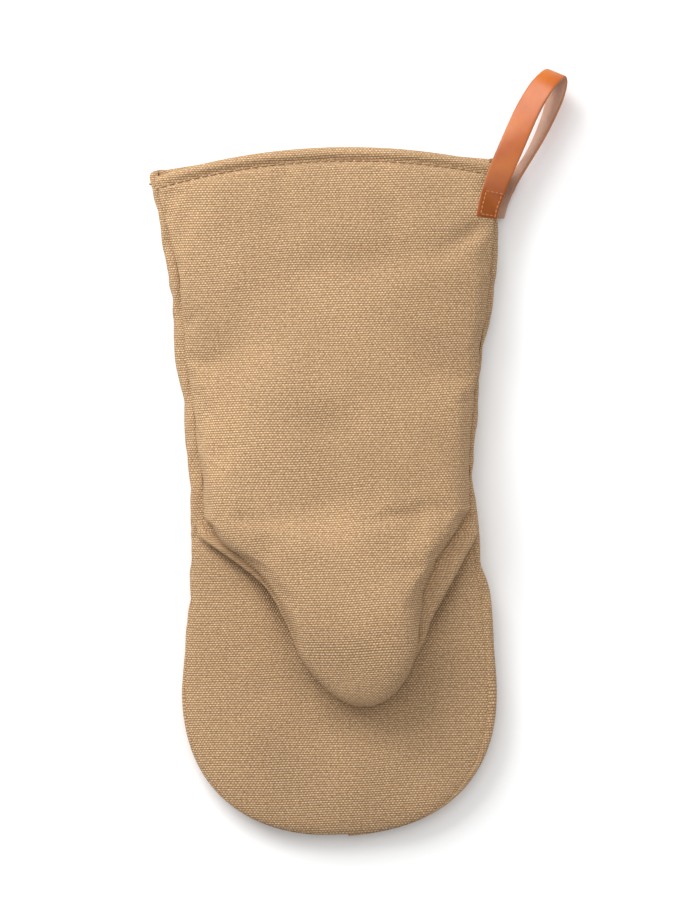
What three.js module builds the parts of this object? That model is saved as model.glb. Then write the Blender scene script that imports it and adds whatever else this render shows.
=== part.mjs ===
// A quilted canvas oven mitt with a grip mouth, lying on its back with the palm side up, and its
// leather hanging loop. Millimetres: +X to the right, +Y from the fingertips to the cuff, +Z up.
// Three canvas panels make it: the back panel runs from cuff to fingertips, the front panel from
// cuff to thumb tip, and the palm panel is folded at the crotch and lines the mouth. Each panel
// has wadding and a terry lining under it.
import * as THREE from "three";

// Outline
const LENGTH = 320; // fingertips to the crown of the cuff edge
const FINGER_LENGTH = 150; // crotch to fingertips
const TIP_LENGTH = 69; // the rounded end of the pouch
const THUMB_LENGTH = 91; // crotch to thumb tip
const THUMB_TIP_LENGTH = 31; // the rounded end of the thumb
const CUFF_HALF = 82.3; // half widths
const WAIST_HALF = 66.6;
const POUCH_HALF = 73.6;
const THUMB_ROOT_HALF = 62.5;
const THUMB_BASE_HALF = 41;
const THUMB_NARROWING = 0.2; // lost from the half width per millimetre of thumb
const THUMB_FLARE_LENGTH = 50; // the root spreads out over this much of the thumb
const THUMB_LEAN = THREE.MathUtils.degToRad(6);
const CUFF_RISE = 10.4; // the cuff edge arches this far above its corners

// Heights
const SEAM_Z = 11; // side seams and finger seam
const CUFF_TOP = 24;
const CROTCH_TOP = 41;
const POUCH_HEIGHT = 11; // palm side of the pouch above its seam, at the crotch
const POUCH_FALL = 2.5; // lost from that height by the start of the rounded end
const BACK_FULLNESS = 1.12; // how far the back would sag below its flat bed if nothing held it
const MOUTH_GAP = 1.2; // between thumb and pouch
const THUMB_UNDER = 8; // thumb below its seam
const THUMB_SWELL = 3; // the middle of the thumb above its root

// Layers and threads
const CLEAR = 0.3; // gap between pieces that touch
const CANVAS = 1.0;
const WADDING = 3.2;
const LINING = 1.0;
const THREAD_R = 0.4;
const HEM = 5.5; // cuff edge to its topstitch
const HEM_VALLEY = 2.5; // half width of the valley that the topstitch pulls

// Leather loop
const STRAP_WIDTH = 11;
const STRAP = 1.6;
const STRAP_BACK = 24.6; // sewn end below the cuff corner
const STRAP_INSET = 2.5; // strap's middle inside the side seam, at the sewn end
const STRAP_LENGTH = 76; // sewn end to the loop's bend
const STRAP_BEND_R = 150; // in plan the strap curves away from the mitt
const STRAP_HEADING = THREE.MathUtils.degToRad(11);
const STRAP_PAST_CORNER = 4.4; // hinge line beyond the cuff corner
const STRAP_TILT = THREE.MathUtils.degToRad(28);
const STRAP_BELLY = 6.5; // half the loop's opening
const STRAP_LIFT = 1; // the loop's belly above the hinge line
const BOX_STITCH_LENGTH = 12;
const BOX_STITCH_WIDTH = 6.4;
const BOX_STITCH_INSET = 2;

// Motions
const THUMB_OPEN = THREE.MathUtils.degToRad(45);
const FINGER_BEND = THREE.MathUtils.degToRad(25);
const STRAP_SWING = THREE.MathUtils.degToRad(25);

// Shape of the sections and ends
const FRONT_FULLNESS = 2.2;
const BED_FULLNESS = 3;
const PALM_FULLNESS = 1.8;
const TIP_FULLNESS = 2.35;
const TIP_STOP = THREE.MathUtils.degToRad(87);
const ACROSS = 10; // facets across a panel
const THREAD_SIDES = 6;

const WALL = CANVAS + WADDING + LINING + 2 * CLEAR;
const SEAM_GAP = 2 * (THREAD_R + CLEAR);
const HEM_DIP = 2 * THREAD_R + CLEAR; // the topstitch lies flush in its valley
const TIP_Y = -LENGTH / 2;
const CORNER_Y = LENGTH / 2 - CUFF_RISE;
const CROTCH_Y = TIP_Y + FINGER_LENGTH;
const POUCH_Y = TIP_Y + TIP_LENGTH;
const THUMB_AXIS_Z = CROTCH_TOP - WALL;
const FINGER_AXIS_Z = WALL;
const THUMB_SEAM_RISE = MOUTH_GAP + THUMB_UNDER; // thumb seam above the pouch
const THUMB_OVER = CROTCH_TOP - SEAM_Z - SEAM_GAP / 2 - POUCH_HEIGHT - THUMB_SEAM_RISE;

const CANVAS_CLOTH = new THREE.MeshStandardMaterial({ color: "#be9c77", roughness: 0.95 });
const WADDING_CLOTH = new THREE.MeshStandardMaterial({ color: "#ece8df", roughness: 1 });
const TERRY_CLOTH = new THREE.MeshStandardMaterial({ color: "#f4f2ee", roughness: 1 });
const LEATHER = new THREE.MeshStandardMaterial({ color: "#b8602c", roughness: 0.5 });
const THREAD = new THREE.MeshStandardMaterial({ color: "#c6a37c", roughness: 0.9 });

// The layers of a panel, each from one depth under the outer face to another. The topstitch
// of the hem pushes its outer side in by outerDip valleys and its inner side by innerDip.
const LAYERS = [
  { name: "canvas", from: 0, to: CANVAS, outerDip: 1, innerDip: 1, cloth: CANVAS_CLOTH },
  {
    name: "wadding",
    from: CANVAS + CLEAR,
    to: CANVAS + CLEAR + WADDING,
    outerDip: 1,
    innerDip: -1,
    cloth: WADDING_CLOTH,
  },
  { name: "lining", from: WALL - LINING, to: WALL, outerDip: -1, innerDip: -1, cloth: TERRY_CLOTH },
];

const group = new THREE.Group();

function addMesh(name, points, faces, material) {
  const positions = new Float32Array(points.flatMap((p) => p.toArray()));
  const geometry = new THREE.BufferGeometry();
  geometry.setAttribute("position", new THREE.BufferAttribute(positions, 3));
  const volume = faces.reduce((sum, [a, b, c]) => {
    const normal = new THREE.Vector3().crossVectors(points[b], points[c]);
    return sum + points[a].dot(normal);
  }, 0);
  const outward = volume > 0 ? faces : faces.map(([a, b, c]) => [a, c, b]);
  geometry.setIndex(outward.flat());
  geometry.computeVertexNormals();
  const mesh = new THREE.Mesh(geometry, material);
  mesh.name = name;
  group.add(mesh);
}

// A closed sheet between two faces, each a function of a column and a row.
function addSheet(name, outer, inner, columns, rows, material) {
  const points = [];
  for (const face of [outer, inner]) {
    for (let j = 0; j <= rows; j++) {
      for (let i = 0; i <= columns; i++) points.push(face(i / columns, j));
    }
  }
  const perFace = (columns + 1) * (rows + 1);
  const at = (side, i, j) => side * perFace + j * (columns + 1) + i;
  const faces = [];
  const quad = (a, b, c, d) => faces.push([a, b, c], [a, c, d]);
  for (let j = 0; j < rows; j++) {
    for (let i = 0; i < columns; i++) {
      quad(at(0, i, j), at(0, i + 1, j), at(0, i + 1, j + 1), at(0, i, j + 1));
      quad(at(1, i, j), at(1, i, j + 1), at(1, i + 1, j + 1), at(1, i + 1, j));
    }
    quad(at(0, 0, j), at(0, 0, j + 1), at(1, 0, j + 1), at(1, 0, j));
    quad(at(1, columns, j), at(1, columns, j + 1), at(0, columns, j + 1), at(0, columns, j));
  }
  for (let i = 0; i < columns; i++) {
    quad(at(1, i, 0), at(1, i + 1, 0), at(0, i + 1, 0), at(0, i, 0));
    quad(at(0, i, rows), at(0, i + 1, rows), at(1, i + 1, rows), at(1, i, rows));
  }
  addMesh(name, points, faces, material);
}

// A round thread through the given points, joined into a ring or ended flat.
function addThread(name, path, ring) {
  const count = path.length;
  const points = [];
  const faces = [];
  path.forEach((centre, k) => {
    const before = path[ring ? (k + count - 1) % count : Math.max(k - 1, 0)];
    const after = path[ring ? (k + 1) % count : Math.min(k + 1, count - 1)];
    const along = after.clone().sub(before).normalize();
    const side = new THREE.Vector3(-along.y, along.x, 0);
    if (side.lengthSq() < 0.01) side.set(1, 0, 0);
    side.normalize();
    const up = new THREE.Vector3().crossVectors(along, side);
    for (let i = 0; i < THREAD_SIDES; i++) {
      const turn = (2 * Math.PI * i) / THREAD_SIDES;
      const offset = side.clone().multiplyScalar(THREAD_R * Math.cos(turn));
      offset.addScaledVector(up, THREAD_R * Math.sin(turn));
      points.push(centre.clone().add(offset));
    }
  });
  for (let k = 0; k < (ring ? count : count - 1); k++) {
    for (let i = 0; i < THREAD_SIDES; i++) {
      const here = k * THREAD_SIDES;
      const there = ((k + 1) % count) * THREAD_SIDES;
      const next = (i + 1) % THREAD_SIDES;
      faces.push([here + i, here + next, there + next], [here + i, there + next, there + i]);
    }
  }
  if (!ring) {
    const last = (count - 1) * THREAD_SIDES;
    for (let i = 1; i < THREAD_SIDES - 1; i++) {
      faces.push([0, i + 1, i], [last, last + i, last + i + 1]);
    }
  }
  addMesh(name, points, faces, THREAD);
}

const mix = THREE.MathUtils.lerp;
const ease = (t) => THREE.MathUtils.smoothstep(t, 0, 1);

// A superellipse at a turn of its angle: its share of the half width and of the height.
function arch(turn, fullness) {
  const across = Math.cos(turn);
  const share = Math.abs(across) ** (2 / fullness);
  return { x: -Math.sign(across) * share, z: Math.abs(Math.sin(turn)) ** (2 / fullness) };
}

// The same height share from the place across.
const archAt = (x, fullness) => (1 - Math.min(Math.abs(x), 1) ** fullness) ** (1 / fullness);

const upCuff = (y) => (y - CROTCH_Y) / (CORNER_Y - CROTCH_Y);
const cuffHalf = (y) => mix(WAIST_HALF, CUFF_HALF, Math.max(upCuff(y), 0) ** 1.3);
const cuffTop = (y) => mix(CROTCH_TOP, CUFF_TOP, 1 - (1 - Math.min(upCuff(y), 1)) ** 2);
const downPouch = (y) => Math.min((CROTCH_Y - y) / (CROTCH_Y - POUCH_Y), 1);
const pouchHalf = (y) => mix(WAIST_HALF, POUCH_HALF, ease(downPouch(y)));
const pouchHeight = (y) => POUCH_HEIGHT - POUCH_FALL * downPouch(y);

// Open space left above the thumb's hinge line, and below the fingers', for the bend.
const thumbRelief = (z) => CLEAR / 2 + Math.max(0, z - THUMB_AXIS_Z) * Math.tan(THUMB_OPEN / 2);
const fingerRelief = (z) => CLEAR / 2 + Math.max(0, FINGER_AXIS_Z - z) * Math.tan(FINGER_BEND / 2);

// Upper and lower faces, at a depth under the outer face of the panel.
const overSeam = (height, depth, share) => SEAM_Z + SEAM_GAP / 2 + (height - depth) * share;
function onBed(depth, share) {
  const sag = SEAM_Z - SEAM_GAP / 2 - (SEAM_Z * BACK_FULLNESS - depth) * share;
  return Math.max(sag, depth);
}

// Rows up the cuff: even ones from the crotch, then those of the topstitch and the edge.
const STITCH_Y = CORNER_Y - HEM;
const CUFF_ROWS = [0, 0.2, 0.4, 0.6, 0.8].map((t) => mix(CROTCH_Y, STITCH_Y - HEM_VALLEY, t));
CUFF_ROWS.push(STITCH_Y - HEM_VALLEY, STITCH_Y, STITCH_Y + HEM_VALLEY, CORNER_Y);

function cuffPoint(side, depth, across, y) {
  const front = side === "front";
  const shape = arch(Math.PI * across, front ? FRONT_FULLNESS : BED_FULLNESS);
  const x = shape.x * (cuffHalf(y) - depth);
  const height = cuffTop(y) - SEAM_Z - SEAM_GAP / 2;
  const z = front ? overSeam(height, depth, shape.z) : onBed(depth, shape.z);
  const arched = y + CUFF_RISE * Math.max(upCuff(y), 0) ** 2 * (1 - shape.x ** 2);
  const relief = front ? thumbRelief(z) : fingerRelief(z);
  return new THREE.Vector3(x, y > CROTCH_Y ? arched : y + relief, z);
}

function addCuff(side) {
  for (const layer of LAYERS) {
    const face = (depth, dips) => (across, row) => {
      const y = CUFF_ROWS[row];
      return cuffPoint(side, depth + (y === STITCH_Y ? dips * HEM_DIP : 0), across, y);
    };
    addSheet(
      side + "_cuff_" + layer.name,
      face(layer.from, layer.outerDip),
      face(layer.to, layer.innerDip),
      ACROSS,
      CUFF_ROWS.length - 1,
      layer.cloth,
    );
  }
}

// Rows to a rounded end: even ones along the straight part, then even turns round the end.
function endRow(row, straightRows, endRows, straight, end, fullness) {
  if (row <= straightRows) return { along: (straight * row) / straightRows, share: 1 };
  const turn = (TIP_STOP * (row - straightRows)) / endRows;
  return {
    along: straight + end * Math.sin(turn) ** (2 / fullness),
    share: Math.cos(turn) ** (2 / fullness),
  };
}

const POUCH_ROWS = 3;
const POUCH_END_ROWS = 5;
function pouchPoint(side, depth, across, row) {
  const straight = FINGER_LENGTH - TIP_LENGTH;
  const end = TIP_LENGTH - depth;
  const { along, share } = endRow(row, POUCH_ROWS, POUCH_END_ROWS, straight, end, TIP_FULLNESS);
  const y = CROTCH_Y - along;
  const shape = arch(Math.PI * across, side === "palm" ? PALM_FULLNESS : BED_FULLNESS);
  const x = shape.x * (pouchHalf(y) - depth) * share;
  const up = shape.z * share;
  const z = side === "palm" ? overSeam(pouchHeight(y), depth, up) : onBed(depth, up);
  const start = side === "palm" ? CLEAR / 2 : fingerRelief(z);
  return new THREE.Vector3(x, row ? y : CROTCH_Y - start, z);
}

function addPouch(side) {
  for (const layer of LAYERS) {
    addSheet(
      side + "_finger_" + layer.name,
      (across, row) => pouchPoint(side, layer.from, across, row),
      (across, row) => pouchPoint(side, layer.to, across, row),
      ACROSS,
      POUCH_ROWS + POUCH_END_ROWS,
      layer.cloth,
    );
  }
}

// The thumb is draped over the pouch, so its whole section is bent to the pouch's upper face.
const THUMB_ROWS = 5;
const THUMB_END_ROWS = 4;
function thumbHalf(along) {
  const flare = Math.max(1 - along / THUMB_FLARE_LENGTH, 0) ** 1.3;
  const taper = THUMB_BASE_HALF - THUMB_NARROWING * along;
  return taper + (THUMB_ROOT_HALF - THUMB_BASE_HALF) * flare;
}

function thumbPoint(side, depth, across, row) {
  const straight = THUMB_LENGTH - THUMB_TIP_LENGTH;
  const end = THUMB_TIP_LENGTH - depth;
  const { along, share } = endRow(row, THUMB_ROWS, THUMB_END_ROWS, straight, end, TIP_FULLNESS);
  const shape = arch(Math.PI * across, FRONT_FULLNESS);
  const x = along * Math.tan(THUMB_LEAN) + shape.x * (thumbHalf(along) - depth) * share;
  const y = CROTCH_Y - along;
  const pouch = overSeam(pouchHeight(y), 0, archAt(x / pouchHalf(y), PALM_FULLNESS));
  const swell = THUMB_SWELL * Math.sin((Math.PI * along) / THUMB_LENGTH);
  const up = shape.z * share;
  let z = pouch + THUMB_SEAM_RISE;
  if (side === "front") z += SEAM_GAP / 2 + (THUMB_OVER + swell - SEAM_GAP / 2 - depth) * up;
  if (side === "palm") z -= SEAM_GAP / 2 + (THUMB_UNDER - SEAM_GAP / 2 - depth) * up;
  return new THREE.Vector3(x, row ? y : y - thumbRelief(z), z);
}

function addThumb(side) {
  for (const layer of LAYERS) {
    addSheet(
      side + "_thumb_" + layer.name,
      (across, row) => thumbPoint(side, layer.from, across, row),
      (across, row) => thumbPoint(side, layer.to, across, row),
      ACROSS,
      THUMB_ROWS + THUMB_END_ROWS,
      layer.cloth,
    );
  }
}

// Seam threads run between the edges of the two panels they join.
function addSideSeam(name, across) {
  const path = CUFF_ROWS.filter((y) => y < STITCH_Y).map((y) => {
    const point = cuffPoint("front", CANVAS / 2, across, y);
    return point.setZ(SEAM_Z);
  });
  path[0].y += THREAD_R;
  addThread(name, path, false);
}

function addEndSeam(name, rows, seamPoint) {
  const path = [];
  for (let row = 0; row <= rows; row++) path.push(seamPoint(0, row));
  for (let row = rows; row >= 0; row--) path.push(seamPoint(1, row));
  path[0].y -= THREAD_R;
  path[path.length - 1].y -= THREAD_R;
  addThread(name, path, false);
}

// The topstitch rings the cuff: its needle thread outside, its bobbin thread inside.
function addHemThread(name, depth) {
  const path = [];
  for (const side of ["front", "back"]) {
    for (let k = 0; k <= ACROSS; k++) {
      const across = side === "front" ? k / ACROSS : 1 - k / ACROSS;
      path.push(cuffPoint(side, depth, across, STITCH_Y));
    }
  }
  addThread(name, path, true);
}

// Plan of the strap: a wide arc that leaves the side seam and passes the cuff corner.
const STRAP_Y = CORNER_Y - STRAP_BACK;
const STRAP_X = cuffHalf(STRAP_Y) - STRAP_INSET;
const STRAP_HINGE = STRAP_BACK + STRAP_PAST_CORNER;
const SEWN_EDGE = 0.95; // the strap bridges the last of the curve at the side seam
function strapPlan(along) {
  const turn = STRAP_HEADING + along / STRAP_BEND_R;
  const x = STRAP_X + STRAP_BEND_R * (Math.cos(STRAP_HEADING) - Math.cos(turn));
  const y = STRAP_Y + STRAP_BEND_R * (Math.sin(turn) - Math.sin(STRAP_HEADING));
  return {
    centre: new THREE.Vector3(x, y, 0),
    ahead: new THREE.Vector3(Math.sin(turn), Math.cos(turn), 0),
    right: new THREE.Vector3(Math.cos(turn), -Math.sin(turn), 0),
  };
}

// A place on the sewn part of the strap, held off the face of the cuff that it lies on.
function tabPoint(side, along, sideways, off) {
  const { centre, right } = strapPlan(along);
  const point = centre.addScaledVector(right, sideways);
  const share = Math.min(Math.abs(point.x) / cuffHalf(point.y), SEWN_EDGE);
  const height = cuffTop(point.y) - SEAM_Z - SEAM_GAP / 2;
  const front = overSeam(height, 0, archAt(share, FRONT_FULLNESS)) + off;
  const back = onBed(0, archAt(share, BED_FULLNESS)) - off;
  return point.setZ(side === "front" ? front : back);
}

const HINGE_FRONT = tabPoint("front", STRAP_HINGE, 0, CLEAR + STRAP / 2).z;
const HINGE_BACK = tabPoint("back", STRAP_HINGE, 0, CLEAR + STRAP / 2).z;
const HINGE_Z = (HINGE_FRONT + HINGE_BACK) / 2;
const HINGE_OPENING = (HINGE_FRONT - HINGE_BACK) / 2;
const STRAP_RELIEF = CLEAR / 2 + (HINGE_OPENING + STRAP) * Math.tan(STRAP_SWING / 2);

function addTab(side) {
  const columns = 4;
  const rows = 6;
  const face = (off) => (across, row) => {
    const along = ((STRAP_HINGE - STRAP_RELIEF) * row) / rows;
    return tabPoint(side, along, (across - 0.5) * STRAP_WIDTH, off);
  };
  addSheet("strap_" + side + "_tab", face(CLEAR + STRAP), face(CLEAR), columns, rows, LEATHER);
}

// The free loop: a teardrop of two legs and a bend, tipped over as it leaves the mitt.
function addLoop() {
  const start = STRAP_HINGE + STRAP_RELIEF;
  const belly = mix(start, STRAP_LENGTH, 0.55);
  const turnIn = STRAP_LENGTH - STRAP_BELLY / 2;
  const half = [
    new THREE.Vector2(start, HINGE_OPENING),
    new THREE.Vector2(belly, STRAP_BELLY),
    new THREE.Vector2(turnIn, STRAP_BELLY * 0.7),
  ];
  const mirrored = half.map((p) => new THREE.Vector2(p.x, -p.y)).reverse();
  const bend = new THREE.Vector2(STRAP_LENGTH, 0);
  const outline = new THREE.SplineCurve([...half, bend, ...mirrored]);
  const rows = 28;
  const face = (off) => (across, row) => {
    const at = outline.getPoint(row / rows);
    const tangent = outline.getTangent(row / rows);
    const { centre, ahead, right } = strapPlan(at.x);
    const away = ease((at.x - start) / (belly - start));
    const tilt = -STRAP_TILT * away;
    const up = new THREE.Vector3(0, 0, Math.cos(tilt)).addScaledVector(right, Math.sin(tilt));
    const wide = right.clone().multiplyScalar(Math.cos(tilt));
    wide.z -= Math.sin(tilt);
    const point = centre.setZ(HINGE_Z + STRAP_LIFT * away);
    point.addScaledVector(up, at.y + off * tangent.x);
    point.addScaledVector(ahead, -off * tangent.y);
    return point.addScaledVector(wide, (across - 0.5) * STRAP_WIDTH);
  };
  addSheet("strap_loop", face(STRAP / 2), face(-STRAP / 2), 3, rows, LEATHER);
}

// A rectangle of stitches through the sewn end, one thread on each face of the mitt.
function addBoxStitch(name, side) {
  const perSide = 4;
  const corners = [
    [BOX_STITCH_INSET, -BOX_STITCH_WIDTH / 2],
    [BOX_STITCH_INSET + BOX_STITCH_LENGTH, -BOX_STITCH_WIDTH / 2],
    [BOX_STITCH_INSET + BOX_STITCH_LENGTH, BOX_STITCH_WIDTH / 2],
    [BOX_STITCH_INSET, BOX_STITCH_WIDTH / 2],
  ];
  const path = corners.flatMap(([along, sideways], k) => {
    const [nextAlong, nextSideways] = corners[(k + 1) % corners.length];
    return Array.from({ length: perSide }, (_, i) => {
      const t = i / perSide;
      const off = 2 * CLEAR + STRAP + THREAD_R;
      return tabPoint(side, mix(along, nextAlong, t), mix(sideways, nextSideways, t), off);
    });
  });
  addThread(name, path, true);
}

addCuff("back");
addCuff("front");
addPouch("back");
addPouch("palm");
addThumb("front");
addThumb("palm");
addSideSeam("left_seam_thread", 0);
addSideSeam("right_seam_thread", 1);
addEndSeam("finger_seam_thread", POUCH_ROWS + POUCH_END_ROWS, (across, row) =>
  pouchPoint("palm", CANVAS / 2, across, row).setZ(SEAM_Z),
);
addEndSeam("thumb_seam_thread", THUMB_ROWS + THUMB_END_ROWS, (across, row) =>
  thumbPoint("seam", CANVAS / 2, across, row),
);
addHemThread("hem_needle_thread", THREAD_R);
addHemThread("hem_bobbin_thread", WALL - THREAD_R + CLEAR);
addTab("front");
addTab("back");
addLoop();
addBoxStitch("strap_needle_thread", "front");
addBoxStitch("strap_bobbin_thread", "back");

export default group;
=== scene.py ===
import math
from bisect import bisect_right

import bmesh
import bpy
from mathutils import Matrix, Vector, noise
from mathutils.bvhtree import BVHTree


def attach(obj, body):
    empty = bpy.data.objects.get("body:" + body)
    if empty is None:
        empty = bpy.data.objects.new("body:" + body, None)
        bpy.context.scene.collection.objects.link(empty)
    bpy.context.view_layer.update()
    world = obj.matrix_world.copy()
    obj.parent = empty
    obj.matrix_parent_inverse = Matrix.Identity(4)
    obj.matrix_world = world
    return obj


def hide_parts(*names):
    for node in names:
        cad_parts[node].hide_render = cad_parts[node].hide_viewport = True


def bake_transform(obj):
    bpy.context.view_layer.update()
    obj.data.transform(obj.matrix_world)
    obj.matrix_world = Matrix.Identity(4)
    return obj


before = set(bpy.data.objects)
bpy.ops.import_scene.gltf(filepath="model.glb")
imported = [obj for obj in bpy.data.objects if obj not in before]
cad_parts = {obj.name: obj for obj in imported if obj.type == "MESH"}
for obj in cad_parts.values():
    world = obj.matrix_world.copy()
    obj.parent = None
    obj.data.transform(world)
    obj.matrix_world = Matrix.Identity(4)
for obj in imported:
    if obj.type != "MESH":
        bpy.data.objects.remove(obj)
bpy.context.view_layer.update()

# ---- Back panel, canvas
# One piece of heavy cotton canvas from the cuff edge to the fingertips. It lies on the table and
# wraps up round both sides to the side seams, so a strip of it shows beside the front panel.
# All sizes are millimetres. A curve is a list of (place up the mitt, value).
MM = 0.001
CANVAS_THICK = 1.0
GRID = 2.8  # spacing of the cloth's mesh
BODY_HALF = [(-91, 73.6), (-55, 70.8), (-31, 67.8), (-10, 66.2), (10, 66.7), (43, 69.4)]
BODY_HALF += [(82, 74.5), (124, 79.2), (150, 82.7), (165, 84.5)]
BODY_MIDDLE = [(-91, -0.3), (-50, 1.0), (-31, 0.3), (10, -0.2), (43, 0.5), (63, 1.0)]
BODY_MIDDLE += [(82, 2.4), (103, 3.0), (124, 2.6), (150, 1.8)]
LEFT_INSET = [(-91, 1.8), (-40, 1.8), (-19, 2.6), (-10, 5.7), (8, 5.2), (26, 4.4), (110, 4.2)]
LEFT_INSET += [(150, 2.6)]
RIGHT_INSET = [(-91, 4.4), (-60, 4.8), (-30, 4.0), (-10, 1.8), (60, 1.3), (150, 1.2)]
SIDE_SEAM_Z = [(-91, 12.5), (-50, 14), (-19, 15), (-10, 16.5), (60, 15), (150, 13.5)]
BODY_MID_Z = 8.5  # where the mitt is widest
POUCH_END = -91.0
POUCH_TIP = 69.0
POUCH_ROUND = 92.0  # cloth over the rounded end
# Rounded outlines are super-ellipses: 2 is a circle, and more is squarer.
TIP_FULLNESS = 2.35
TIP_STOP = math.radians(89.4)  # just short of a point
SIDE_FULLNESS = 2.2
BED_FULLNESS = 3.4
BED_FLAT = 1.06  # over 1, so the under side lies flat on the table
INSET_AT_TIP = 0.3  # share of the seams' inset that is left at the fingertips
SEAM_TUCK = 0.019  # share of half the width by which the front rolls over its seams
INNER_CUT = 1.8  # inner layers are cut smaller by this and by their depth
SEAM_DOWN = 0.9  # inner layers of the back panel meet the seam lower
SEAM_ROLL = 1.5  # the cloth rolls over beside a seam
CUFF_CORNER = 150.0
HEM_TURN_R = 2.6
HEM_TURN = math.pi * HEM_TURN_R
HEM_INSIDE = 6.0
HEM_STITCH = 3.2  # below where the cloth starts to turn in
HEM_VALLEY = 1.8  # how deep the stitches pull the cloth down
VALLEY_ABOVE, VALLEY_BELOW = 2.0, 1.4
HEM_PUFF = 0.5  # how far the turned edge swells above them
PUFF_AT, PUFF_REACH = 0.6, 1.3


def through(knots):
    """A smooth curve through (place, value) knots."""
    places = [k[0] for k in knots]

    def value(at):
        if at <= places[0]:
            return knots[0][1]
        if at >= places[-1]:
            return knots[-1][1]
        i = bisect_right(places, at) - 1
        (x0, y0), (x1, y1) = knots[i], knots[i + 1]
        before, after = knots[max(i - 1, 0)], knots[min(i + 2, len(knots) - 1)]
        slope0 = (y1 - before[1]) / (x1 - before[0])
        slope1 = (after[1] - y0) / (after[0] - x0)
        span = x1 - x0
        t = (at - x0) / span
        bend = (2 * t**3 - 3 * t * t + 1) * y0 + (3 * t * t - 2 * t**3) * y1
        return bend + span * ((t**3 - 2 * t * t + t) * slope0 + (t**3 - t * t) * slope1)

    return value


body_half = through(BODY_HALF)
body_middle = through(BODY_MIDDLE)
left_inset = through(LEFT_INSET)
right_inset = through(RIGHT_INSET)
side_seam_z = through(SIDE_SEAM_Z)


def cut_back(depth):
    """How far inside the outer face's outline a layer ends: inner layers are cut smaller."""
    return depth + INNER_CUT if depth else 0.0


def mix(a, b, t):
    return a + (b - a) * t


def ease(t):
    t = min(max(t, 0.0), 1.0)
    return t * t * (3 - 2 * t)


def power(value, exponent):
    """A signed power."""
    return math.copysign(abs(value) ** exponent, value)


def softly(x, y, size, seed):
    """Smooth unevenness from -1 to 1, its lumps about size millimetres across."""
    return noise.noise(Vector((x / size, y / size, seed * 7.3)))


def spread(stops):
    """Rows of cloth between stops, as even as they go and never further apart than GRID."""
    rows = [stops[0]]
    for start, stop in zip(stops, stops[1:]):
        count = max(1, math.ceil((stop - start) / GRID))
        rows += [mix(start, stop, (k + 1) / count) for k in range(count)]
    return rows


# Rows of cloth at the hem: turned in, round the edge, then close together at the stitches.
HEM_ROWS = [-HEM_TURN - HEM_INSIDE, -HEM_TURN - HEM_INSIDE / 2]
HEM_ROWS += [-HEM_TURN * k / 6 for k in (6, 5, 4, 3, 2, 1)]
HEM_ROWS += [0, 0.9, 1.8, 2.6, HEM_STITCH, 3.9, 4.8, 5.8]


def hem_shape(drop):
    """How far below the cuff's edge, and how far under the outer face, a row lies that is drop
    millimetres of cloth below the start of the turned edge. Rows above it have negative drops."""
    if drop < 0:
        turn = min(-drop / HEM_TURN_R, math.pi)
        inside = max(-drop - HEM_TURN, 0)
        return HEM_TURN_R * (1 - math.sin(turn)) + inside, HEM_TURN_R * (1 - math.cos(turn))
    reach = VALLEY_ABOVE if drop < HEM_STITCH else VALLEY_BELOW
    valley = HEM_VALLEY * math.exp(-(((drop - HEM_STITCH) / reach) ** 2))
    puff = HEM_PUFF * math.exp(-(((drop - PUFF_AT) / PUFF_REACH) ** 2))
    return HEM_TURN_R + drop, valley - puff


def lay_panel(name, columns, rows, place, upward, moves=None):
    """Cuts a panel as a flat grid, lays it in place facing up or down, and counts its cloth in
    millimetres as UVs."""
    bm = bmesh.new()
    bmesh.ops.create_grid(bm, x_segments=columns, y_segments=len(rows) - 1, size=0.5)
    bm.verts.index_update()
    grid = {}
    for v in bm.verts:
        i = round((v.co.x + 0.5) * columns)
        j = round((v.co.y + 0.5) * (len(rows) - 1))
        grid[i, j] = v
    lengthwise = {}
    for (i, j), v in grid.items():
        point, lengthwise[v] = place(i / columns, rows[j])
        v.co = Vector(point) * MM + (moves[v.index] if moves else Vector())
    crosswise = {}
    middle = columns // 2
    for j in range(len(rows)):
        crosswise[grid[middle, j]] = grid[middle, j].co.x / MM
        for step in (1, -1):
            i = middle
            while 0 <= i + step <= columns:
                here, there = grid[i, j], grid[i + step, j]
                apart = math.hypot(there.co.x - here.co.x, there.co.z - here.co.z) / MM
                crosswise[there] = crosswise[here] + step * apart
                i += step
    cloth = bm.loops.layers.uv.new("cloth")
    for face in bm.faces:
        for loop in face.loops:
            loop[cloth].uv = (crosswise[loop.vert], lengthwise[loop.vert])
        face.smooth = True
    if upward:
        bmesh.ops.reverse_faces(bm, faces=bm.faces)
    order = {place: v.index for place, v in grid.items()}
    mesh = bpy.data.meshes.new(name)
    bm.to_mesh(mesh)
    bm.free()
    piece = bpy.data.objects.new(name, mesh)
    bpy.context.scene.collection.objects.link(piece)
    return piece, order


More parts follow.
